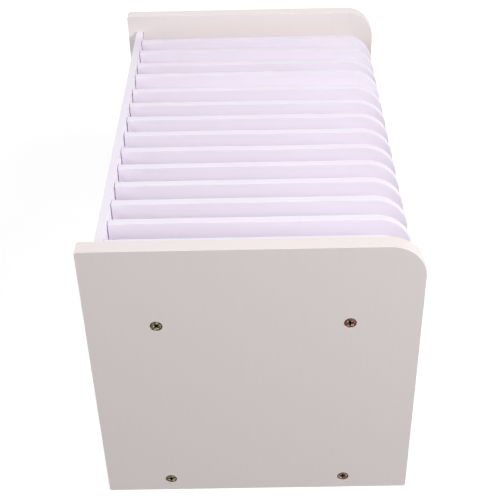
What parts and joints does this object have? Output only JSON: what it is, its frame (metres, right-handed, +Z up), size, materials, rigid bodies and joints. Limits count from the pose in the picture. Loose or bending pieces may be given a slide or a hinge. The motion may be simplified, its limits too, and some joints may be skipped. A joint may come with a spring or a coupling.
{
  "type": "phone storage box",
  "caption": "Open-fronted box that stores phones on edge between upright dividers, on a base and a slotted shelf, with rounded end panels.",
  "frame": {"origin": "on the ground under the middle of the box", "axes": "+X along the row of slots, -Y towards the open front with the rounded corners, +Z up"},
  "size_m": [0.298, 0.181, 0.1825],
  "materials": {
    "painted_board": "satin white paint on fibreboard",
    "foam_sheet": "matte lilac-white foam sheet",
    "zinc_screw": "yellow zinc plating"
  },
  "bodies": {
    "root": {"left_end_panel": "painted_board", "right_end_panel": "painted_board", "base_board": "painted_board", "shelf": "painted_board", "back_board": "foam_sheet", "divider_01": "foam_sheet", "divider_02": "foam_sheet", "divider_03": "foam_sheet", "divider_04": "foam_sheet", "divider_05": "foam_sheet", "divider_06": "foam_sheet", "divider_07": "foam_sheet", "divider_08": "foam_sheet", "divider_09": "foam_sheet", "divider_10": "foam_sheet", "divider_11": "foam_sheet", "divider_12": "foam_sheet", "divider_13": "foam_sheet", "divider_14": "foam_sheet", "left_shelf_rear_screw": "zinc_screw", "left_shelf_front_screw": "zinc_screw", "left_base_rear_screw": "zinc_screw", "left_base_front_screw": "zinc_screw", "right_shelf_rear_screw": "zinc_screw", "right_shelf_front_screw": "zinc_screw", "right_base_rear_screw": "zinc_screw", "right_base_front_screw": "zinc_screw"}
  },
  "joints": []
}
